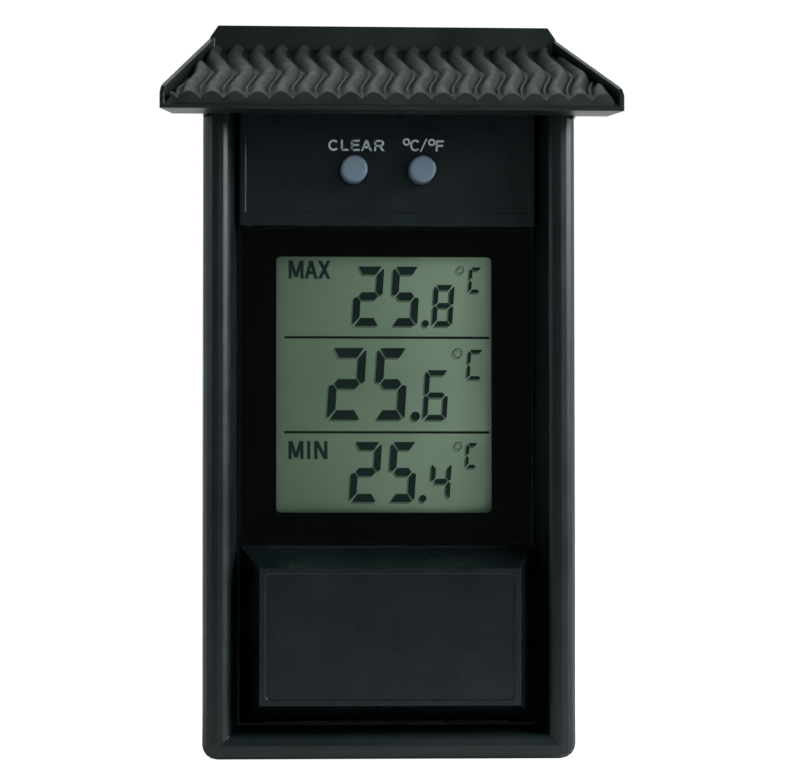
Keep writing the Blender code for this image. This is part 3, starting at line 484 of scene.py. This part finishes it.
def roof_tiles():
    low, high = node_box("roof_tiles")
    front, back = low.y - TILE_LAP, high.y
    deep = high.y - low.y
    eave_half = high.x
    ridge_half = eave_half - ROOF_TAPER * deep
    at_ridge = high.z - TILE_RISE / 2

    def middle_at(y):
        return at_ridge + ROOF_SLOPE * (y - back)

    bm = bmesh.new()
    rise = bm.verts.layers.float.new("rise")
    rows = []
    for r in range(TILE_ROWS + 1):
        share = r / TILE_ROWS
        y = front + (back - front) * share
        half = eave_half + (ridge_half - eave_half) * share
        rows.append(tile_row(bm, rise, share, y, half, middle_at(y)))
    for near, far in zip(rows, rows[1:]):
        for a, b, c, d in zip(near, near[1:], far[1:], far):
            face = bm.faces.new((a, b, c, d))
            face.smooth = True
    close_under(bm, rise, rows, middle_at)
    tiles = add_piece("tile_courses", bm, tile_plastic(), "case")
    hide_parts("roof_tiles")


# Display

SEGMENT_GAP = 0.2
SLANT = math.tan(math.radians(3.5))
LIT = {"2": "abged", "4": "fgbc", "5": "afgcd", "6": "afgedc", "8": "abcdefg", "C": "afed"}


def segment_outlines(width, height, across, down):
    """Each segment's outline in an upright digit. across and down are the two stroke widths."""
    gap = SEGMENT_GAP / 2 * math.sqrt(2)
    cut = min(across, down) * 0.28
    mid = height / 2
    half = across / 2
    top = [
        (cut + gap, height),
        (width - cut - gap, height),
        (width - down - gap, height - across),
        (down + gap, height - across),
    ]
    middle = [
        (down * 0.55 + gap, mid),
        (down + gap, mid + half),
        (width - down - gap, mid + half),
        (width - down * 0.55 - gap, mid),
        (width - down - gap, mid - half),
        (down + gap, mid - half),
    ]
    left = [
        (0, height - cut - gap),
        (0, mid + gap + cut * 0.6),
        (down * 0.5, mid + gap),
        (down, mid + half + gap),
        (down, height - across - gap),
        (cut * 0.6, height - cut * 0.6 - gap * 1.4),
    ]

    def flip_x(points):
        return [(width - x, z) for x, z in reversed(points)]

    def flip_z(points):
        return [(x, height - z) for x, z in reversed(points)]

    return {
        "a": top,
        "b": flip_x(left),
        "c": flip_z(flip_x(left)),
        "d": flip_z(top),
        "e": flip_z(left),
        "f": left,
        "g": middle,
    }


def digit(bm, character, x, z, strokes, y):
    """A slanted seven-segment digit in the box x, z."""
    height = z[1] - z[0]
    width = x[1] - x[0] - height * SLANT
    outlines = segment_outlines(width, height, *strokes)
    for key in LIT[character]:
        slab(bm, [(x[0] + px + pz * SLANT, z[0] + pz) for px, pz in outlines[key]], *y)


def disc(bm, centre, radius, y, points=20):
    turns = [2 * math.pi * i / points for i in range(points)]
    slab(bm, [(centre[0] + radius * math.cos(t), centre[1] + radius * math.sin(t)) for t in turns], *y)


def bar(bm, x, level, thick, y):
    """A level stroke."""
    low, high = level - thick / 2, level + thick / 2
    slab(bm, [(x[0], low), (x[1], low), (x[1], high), (x[0], high)], *y)


def ring(bm, centre, radius, width, y, points=28):
    """A flat ring, given a thickness along Y."""
    inner, outer = radius - width / 2, radius + width / 2
    loops = []
    for depth in y:
        for size in (outer, inner):
            loops.append([
                bm.verts.new((centre[0] + size * math.cos(t), depth, centre[1] + size * math.sin(t)))
                for t in (2 * math.pi * i / points for i in range(points))
            ])
    near_out, near_in, far_out, far_in = loops
    for i in range(points):
        j = (i + 1) % points
        bm.faces.new((near_out[i], near_out[j], near_in[j], near_in[i]))
        bm.faces.new((far_in[i], far_in[j], far_out[j], far_out[i]))
        bm.faces.new((near_out[j], near_out[i], far_out[i], far_out[j]))
        bm.faces.new((near_in[i], near_in[j], far_in[j], far_in[i]))


# The film's layout, from its middle and its lower edge. Each reading has two big digits, a point,
# a small digit, a degree ring and a unit.
SMALL_STROKES = (0.95, 0.85)
UNIT_STROKES = (0.6, 0.55)
DEGREE_STROKE = 0.16
MAXIMUM = {
    "big": [("2", (-6.15, -0.17)), ("5", (0.83, 6.54))],
    "height": (37.03, 48.01),
    "strokes": (1.5, 1.3),
    "point": ((7.41, 37.54), 0.64),
    "small": ("8", (8.59, 12.81), (37.03, 44.67)),
    "degree": ((13.86, 47.42), 0.63),
    "unit": ((15.33, 17.98), (43.26, 47.95)),
}
PRESENT = {
    "big": [("2", (-10.81, -3.41)), ("5", (-2.28, 4.35))],
    "height": (19.75, 32.98),
    "strokes": (1.8, 1.5),
    "point": ((5.55, 20.45), 0.85),
    "small": ("6", (6.89, 11.83), (19.75, 28.92)),
    "degree": ((13.34, 32.09), 0.81),
    "unit": ((15.0, 18.24), (27.26, 32.72)),
}
MINIMUM = {
    "big": [("2", (-6.69, -0.59)), ("5", (0.37, 6.01))],
    "height": (4.66, 15.69),
    "strokes": (1.5, 1.3),
    "point": ((6.89, 5.30), 0.66),
    "small": ("4", (8.13, 12.25), (5.04, 11.88)),
    "degree": ((13.41, 14.99), 0.66),
    "unit": ((14.72, 17.28), (10.94, 15.53)),
}
RULE_X = (-18.57, 19.2)
RULE_LEVELS = (34.91, 17.46)
RULE_THICK = 0.45
WORD_STROKE = 0.62
MAX_X = [(-17.83, -15.05), (-14.9, -12.45), (-12.4, -10.1)]
MAX_Z = (45.7, 49.05)
MIN_X = [(-17.83, -15.05), (-14.45, -13.75), (-13.1, -10.65)]
MIN_Z = (12.52, 15.84)
SHADOW_SHIFT = (-0.3, 0.0, -0.35)
SEGMENT_LIFTS = (0.03, 0.05)
SHADOW_LIFTS = (0.005, 0.02)


def draw_readings(bm, y):
    for reading in (MAXIMUM, PRESENT, MINIMUM):
        for character, x in reading["big"]:
            digit(bm, character, x, reading["height"], reading["strokes"], y)
        disc(bm, *reading["point"], y)
        character, x, z = reading["small"]
        digit(bm, character, x, z, SMALL_STROKES, y)
        ring(bm, *reading["degree"], DEGREE_STROKE, y)
        x, z = reading["unit"]
        digit(bm, "C", x, z, UNIT_STROKES, y)


# Each letter as strokes in a unit box: legs run from one height to another and end flat, bars are
# level, and arcs are (centre, radii, degrees from and to).
LETTERS = {
    "A": {"legs": [(0, 0, 0.5, 1), (1, 0, 0.5, 1)], "bars": [(0.16, 0.84, 0.3)]},
    "C": {"arcs": [((0.52, 0.5), (0.52, 0.5), (42, 318))]},
    "E": {"legs": [(0, 0, 0, 1)], "bars": [(0, 1, 0), (0, 0.94, 0.54), (0, 1, 1)]},
    "F": {"legs": [(0, 0, 0, 1)], "bars": [(0, 0.9, 0.5), (0, 1, 1)]},
    "I": {"legs": [(0.5, 0, 0.5, 1)]},
    "L": {"legs": [(0, 0, 0, 1)], "bars": [(0, 1, 0)]},
    "M": {"legs": [(0, 0, 0, 1), (0.5, 0.08, 0.06, 1), (0.5, 0.08, 0.94, 1), (1, 0, 1, 1)]},
    "N": {"legs": [(0, 0, 0, 1), (0.95, 0, 0.05, 1), (1, 0, 1, 1)]},
    "R": {"legs": [(0, 0, 0, 1), (1, 0, 0.52, 0.46)], "bars": [(0, 0.66, 0.46), (0, 0.66, 1)],
          "arcs": [((0.6, 0.73), (0.34, 0.27), (-90, 90))]},
    "X": {"legs": [(0, 0, 1, 1), (1, 0, 0, 1)]},
    "/": {"legs": [(0, 0, 1, 1)]},
}


def arc(bm, centre, radii, turns, stroke, y, steps=18):
    """A curved stroke of even width."""
    spots = [math.radians(turns[0] + (turns[1] - turns[0]) * i / steps) for i in range(steps + 1)]
    outline = []
    for grow, order in ((stroke / 2, spots), (-stroke / 2, list(reversed(spots)))):
        for t in order:
            x = centre[0] + (radii[0] + grow) * math.cos(t)
            z = centre[1] + (radii[1] + grow) * math.sin(t)
            outline.append((x, z))
    slab(bm, outline, *y)


def leg(bm, foot, head, stroke, y):
    """A straight stroke whose ends are cut level."""
    half = stroke / 2 * math.dist(foot, head) / (head[1] - foot[1])
    outline = [
        (foot[0] - half, foot[1]),
        (foot[0] + half, foot[1]),
        (head[0] + half, head[1]),
        (head[0] - half, head[1]),
    ]
    slab(bm, outline, *y)


def letter(bm, character, x, z, stroke, y):
    """A letter built of strokes in the box x, z."""
    strokes = LETTERS[character]
    wide, high = x[1] - x[0] - stroke, z[1] - z[0] - stroke
    left, lower = x[0] + stroke / 2, z[0] + stroke / 2
    for x0, z0, x1, z1 in strokes.get("legs", ()):
        foot = (left + wide * x0, z[0] + (z[1] - z[0]) * z0)
        head = (left + wide * x1, z[0] + (z[1] - z[0]) * z1)
        leg(bm, foot, head, stroke, y)
    for x0, x1, at in strokes.get("bars", ()):
        span = (x[0] + (x[1] - x[0]) * x0, x[0] + (x[1] - x[0]) * x1)
        bar(bm, span, lower + high * at, stroke, y)
    for centre, radii, turns in strokes.get("arcs", ()):
        middle = (left + wide * centre[0], lower + high * centre[1])
        arc(bm, middle, (wide * radii[0], high * radii[1]), turns, stroke, y)


def word(bm, text, boxes, z, stroke, y):
    for character, x in zip(text, boxes):
        letter(bm, character, x, z, stroke, y)


def display_piece(name, draw, material, lifts, shift=(0.0, 0.0, 0.0)):
    """What draw() lays on the polarizer, between two heights in front of it."""
    low, high = node_box("lcd_front_polarizer")
    bm = bmesh.new()
    draw(bm, (low.y - lifts[1], low.y - lifts[0]))
    at = Vector(((low.x + high.x) / 2, 0.0, low.z)) + Vector(shift)
    bmesh.ops.translate(bm, vec=at, verts=bm.verts)
    add_piece(name, bm, material, "case")


def draw_rules(bm, y):
    for level in RULE_LEVELS:
        bar(bm, RULE_X, level, RULE_THICK, y)


def draw_words(bm, y):
    word(bm, "MAX", MAX_X, MAX_Z, WORD_STROKE, y)
    word(bm, "MIN", MIN_X, MIN_Z, WORD_STROKE, y)


def display_pieces():
    ink = liquid_crystal("liquid_crystal", linear(22, 42, 42), linear(32, 55, 53))
    thin = liquid_crystal("liquid_crystal_thin", linear(34, 56, 54), linear(44, 68, 64))
    dense = liquid_crystal("liquid_crystal_dense", linear(8, 22, 17), linear(14, 30, 24))
    shade = liquid_crystal("segment_shadow", linear(112, 132, 112), linear(118, 139, 118))
    display_piece("display_digits", draw_readings, ink, SEGMENT_LIFTS)
    display_piece("display_digit_shadows", draw_readings, shade, SHADOW_LIFTS, SHADOW_SHIFT)
    display_piece("display_rules", draw_rules, dense, SEGMENT_LIFTS)
    display_piece("display_words", draw_words, thin, SEGMENT_LIFTS)


# Legends, each placed from the middle of its button

FIELD_SUNK = 0.25
INK_LIFTS = (0.003, 0.02)
LEGEND_STROKE = 0.37
CLEAR_X = [(-4.6, -2.7), (-2.3, -0.88), (-0.5, 1.11), (1.35, 3.4), (3.75, 5.65)]
LEGEND_Z = (3.6, 5.65)
CELSIUS_Z = (3.6, 5.75)
CELSIUS_X = (-2.1, -0.25)
SLASH_X = (-0.3, 1.05)
SLASH_Z = (3.55, 5.9)
SLASH_STROKE = 0.26
FAHRENHEIT_X = (2.58, 4.08)
DEGREES = [((-2.74, 5.3), 0.52), ((1.86, 5.23), 0.5)]
DEGREE_WIDTH = 0.32


def draw_clear(bm, y):
    word(bm, "CLEAR", CLEAR_X, LEGEND_Z, LEGEND_STROKE, y)


def draw_units(bm, y):
    letter(bm, "C", CELSIUS_X, CELSIUS_Z, LEGEND_STROKE, y)
    letter(bm, "/", SLASH_X, SLASH_Z, SLASH_STROKE, y)
    letter(bm, "F", FAHRENHEIT_X, LEGEND_Z, LEGEND_STROKE, y)
    for centre, radius in DEGREES:
        ring(bm, centre, radius, DEGREE_WIDTH, y)


def legends():
    field = node_box("button_panel")[0].y + FIELD_SUNK
    ink = printed_ink()
    for button, name, draw in (
        ("clear_button", "legend_clear", draw_clear),
        ("unit_button", "legend_unit", draw_units),
    ):
        low, high = node_box(button)
        bm = bmesh.new()
        draw(bm, (field - INK_LIFTS[1], field - INK_LIFTS[0]))
        at = Vector(((low.x + high.x) / 2, 0.0, (low.z + high.z) / 2))
        bmesh.ops.translate(bm, vec=at, verts=bm.verts)
        add_piece(name, bm, ink, "case")


# Studio, in metres

FLOOR_RADIUS = 6.0
FLOOR_GAP = 0.0002
FLOOR_GLOW = 0.97
SEEN_LEVEL = 1.05
FRONT_LEVEL = 0.07
BEHIND_LEVEL = 0.85
KEY_WHITE = (0.92, 0.97, 1.0)
SIDE_WHITE = (0.95, 0.98, 1.0)
CAMERA_PLACE = (-0.0306, -0.4950, 0.0415)
CAMERA_UP = 1.889
CAMERA_TURN = -2.686
LENS_LONG = 124.72


def add_light(name, place, target, size, power, colour):
    """A soft box at a place, turned to a target."""
    data = bpy.data.lights.new(name, "AREA")
    data.shape = "RECTANGLE"
    data.size, data.size_y = size
    data.energy = power
    data.color = colour
    lamp = bpy.data.objects.new(name, data)
    bpy.context.scene.collection.objects.link(lamp)
    lamp.location = place
    aim = Vector(target) - Vector(place)
    lamp.rotation_euler = aim.to_track_quat("-Z", "Y").to_euler()


def ramp(tree, value, start, end, to):
    """A value carried over from one span to another, and held at the ends."""
    node = tree.nodes.new("ShaderNodeMapRange")
    for name, number in (("From Min", start), ("From Max", end), ("To Min", to[0]), ("To Max", to[1])):
        node.inputs[name].default_value = number
    tree.links.new(value, node.inputs["Value"])
    return node.outputs["Result"]


def combine(tree, operation, first, second):
    node = tree.nodes.new("ShaderNodeMath")
    node.operation = operation
    tree.links.new(first, node.inputs[0])
    if isinstance(second, bpy.types.NodeSocket):
        tree.links.new(second, node.inputs[1])
    else:
        node.inputs[1].default_value = second
    return node.outputs["Value"]


def studio_world():
    """White where it is seen. As a light it is bright behind the object, and dim overhead and in front."""
    world = bpy.data.worlds.new("studio")
    bpy.context.scene.world = world
    world.use_nodes = True
    tree = world.node_tree
    tree.nodes.clear()
    direction = tree.nodes.new("ShaderNodeTexCoord")
    split = tree.nodes.new("ShaderNodeSeparateXYZ")
    tree.links.new(direction.outputs["Generated"], split.inputs["Vector"])
    behind = ramp(tree, split.outputs["Y"], 0.0, 0.5, (0.0, BEHIND_LEVEL))
    not_above = ramp(tree, split.outputs["Z"], 0.2, 0.8, (1.0, 0.12))
    level = combine(tree, "ADD", combine(tree, "MULTIPLY", behind, not_above), FRONT_LEVEL)
    light = tree.nodes.new("ShaderNodeBackground")
    light.inputs["Color"].default_value = (0.82, 0.99, 0.98, 1.0)
    tree.links.new(level, light.inputs["Strength"])
    seen = tree.nodes.new("ShaderNodeBackground")
    seen.inputs["Color"].default_value = (1.0, 1.0, 1.0, 1.0)
    seen.inputs["Strength"].default_value = SEEN_LEVEL
    path = tree.nodes.new("ShaderNodeLightPath")
    mix = tree.nodes.new("ShaderNodeMixShader")
    output = tree.nodes.new("ShaderNodeOutputWorld")
    tree.links.new(path.outputs["Is Camera Ray"], mix.inputs[0])
    tree.links.new(light.outputs["Background"], mix.inputs[1])
    tree.links.new(seen.outputs["Background"], mix.inputs[2])
    tree.links.new(mix.outputs["Shader"], output.inputs["Surface"])


def sweep_look():
    """Nearly white where it is seen. As a reflection it is pale behind the object and dim in front."""
    look = Look("pale_floor")
    path = look.add("ShaderNodeLightPath")
    behind = look.span(look.axis("Y"), 0.0, 0.15, (0.0, 0.6))
    in_front = look.span(look.axis("Y"), -0.25, -0.05, (0.75, 0.0))
    pale = look.mix(look.noise(0.002), (0.86, 0.86, 0.86, 1), (0.9, 0.9, 0.9, 1))
    dim = look.math("MULTIPLY", path.outputs["Is Glossy Ray"], in_front)
    look.set(Base_Color=look.mix(dim, pale, (0.05, 0.06, 0.06, 1)))
    look.shader.inputs["Roughness"].default_value = 0.9
    glow = look.add("ShaderNodeEmission", {"Color": (1, 1, 1, 1), "Strength": FLOOR_GLOW})
    lit = look.shader.outputs["BSDF"]
    both = look.add("ShaderNodeAddShader", {0: lit, 1: glow.outputs["Emission"]})
    mirrored = look.math("MULTIPLY", path.outputs["Is Glossy Ray"], behind)
    share = look.math("MAXIMUM", path.outputs["Is Camera Ray"], mirrored)
    seen = look.add("ShaderNodeMixShader", {0: share, 1: lit, 2: both.outputs["Shader"]})
    look.feed(look.output.inputs["Surface"], seen.outputs["Shader"])
    return look.material


def studio_floor():
    """A pale sweep that is nearly white where the camera sees it, so that only the contact shadow shows."""
    bm = bmesh.new()
    bmesh.ops.create_circle(bm, cap_ends=True, radius=FLOOR_RADIUS, segments=64)
    mesh = bpy.data.meshes.new("floor")
    bm.to_mesh(mesh)
    bm.free()
    floor = bpy.data.objects.new("floor", mesh)
    bpy.context.scene.collection.objects.link(floor)
    floor.location.z = -FLOOR_GAP
    mesh.materials.append(sweep_look())


def studio_lights():
    add_light("key", (0.66, -0.33, 0.42), (0, 0, 0.075), (0.55, 0.48), 9.2, KEY_WHITE)
    add_light("front", (0.45, -0.9, 0.5), (0, 0, 0.075), (0.5, 0.4), 0.35, (0.9, 1.0, 0.98))
    add_light("side", (0.8, 0.0, 0.34), (0, 0, 0.09), (0.3, 0.3), 0.3, SIDE_WHITE)
    add_light("left", (-0.75, -0.2, 0.3), (0, 0, 0.075), (0.3, 0.4), 0.65, (0.92, 0.98, 1.0))
    add_light("top", (0.0, 0.35, 0.62), (0, 0, 0.12), (0.6, 0.35), 0.5, SIDE_WHITE)


def add_camera():
    data = bpy.data.cameras.new("camera")
    data.sensor_width = 36
    data.lens = LENS_LONG
    data.shift_x = 0.06
    data.shift_y = 0.06
    data.clip_start = 0.01
    camera = bpy.data.objects.new("camera", data)
    bpy.context.scene.collection.objects.link(camera)
    camera.location = CAMERA_PLACE
    camera.rotation_euler = Euler((math.radians(90 + CAMERA_UP), 0.0, math.radians(CAMERA_TURN)))
    bpy.context.scene.camera = camera


def main():
    dress_case()
    dress_display()
    dress_inside()
    roof_tiles()
    display_pieces()
    legends()
    studio_world()
    studio_floor()
    studio_lights()
    add_camera()
    bpy.context.scene.view_settings.view_transform = "Standard"


main()
